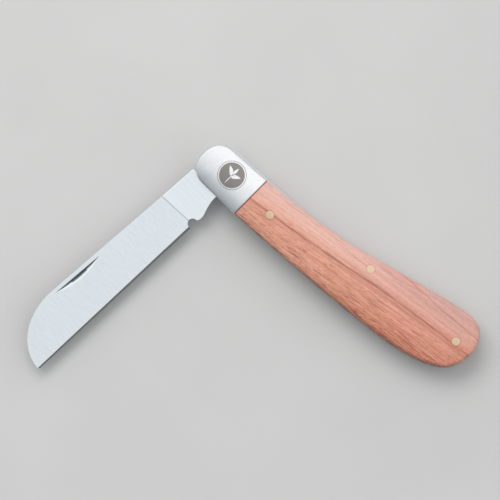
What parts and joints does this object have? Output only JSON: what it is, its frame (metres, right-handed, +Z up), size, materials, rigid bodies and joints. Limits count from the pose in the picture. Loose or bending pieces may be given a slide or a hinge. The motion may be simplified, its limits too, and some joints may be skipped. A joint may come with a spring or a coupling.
{
  "type": "folding grafting knife",
  "caption": "Slip-joint folding grafting knife, blade half open, with a one-sided bevel, steel bolsters, swelled rosewood handle and brass pins.",
  "frame": {"origin": "on the blade pivot's axis, at the level of the handle's lower flat faces, where the knife rests", "axes": "+X down the handle from the pivot to the butt, +Y to the back of the handle where the backspring lies, +Z up through the marked side"},
  "size_m": [0.1125, 0.1116, 0.0122],
  "materials": {
    "bolster_steel": "satin, crowned",
    "blade_steel": "fine satin",
    "liner_steel": "ground",
    "spring_steel": "ground",
    "pin_steel": "ground flush",
    "pin_brass": "ground flush",
    "rosewood": "satin oiled rosewood"
  },
  "bodies": {
    "handle": {"bolster_marked_side": "bolster_steel", "bolster_reverse_side": "bolster_steel", "scale_marked_side": "rosewood", "scale_reverse_side": "rosewood", "liner_marked_side": "liner_steel", "liner_reverse_side": "liner_steel", "pivot_pin": "pin_steel", "centre_pin": "pin_brass", "rear_pin": "pin_brass", "scale_rivet_marked_side": "pin_brass", "scale_rivet_reverse_side": "pin_brass", "bolster_rivet_marked_side": "pin_steel", "bolster_rivet_reverse_side": "pin_steel", "backspring": "spring_steel"},
    "blade": {"blade": "blade_steel"},
    "backspring_arm": {"backspring_arm": "spring_steel"}
  },
  "joints": [
    {"name": "blade_pivot", "type": "hinge", "parent": "handle", "child": "blade", "pos_m": [0, 0, 0.0061], "axis": [0, 0, -1], "range_deg": [-94, 86], "deforming": ["backspring_arm"]},
    {"name": "backspring_flex", "type": "hinge", "parent": "handle", "child": "backspring_arm", "pos_m": [0.046, 0.0112, 0.0061], "axis": [0, 0, 1], "range_deg": [0, 1.05], "stiffness_Nm_per_rad": 0.5, "deforming": ["backspring_arm"]}
  ]
}
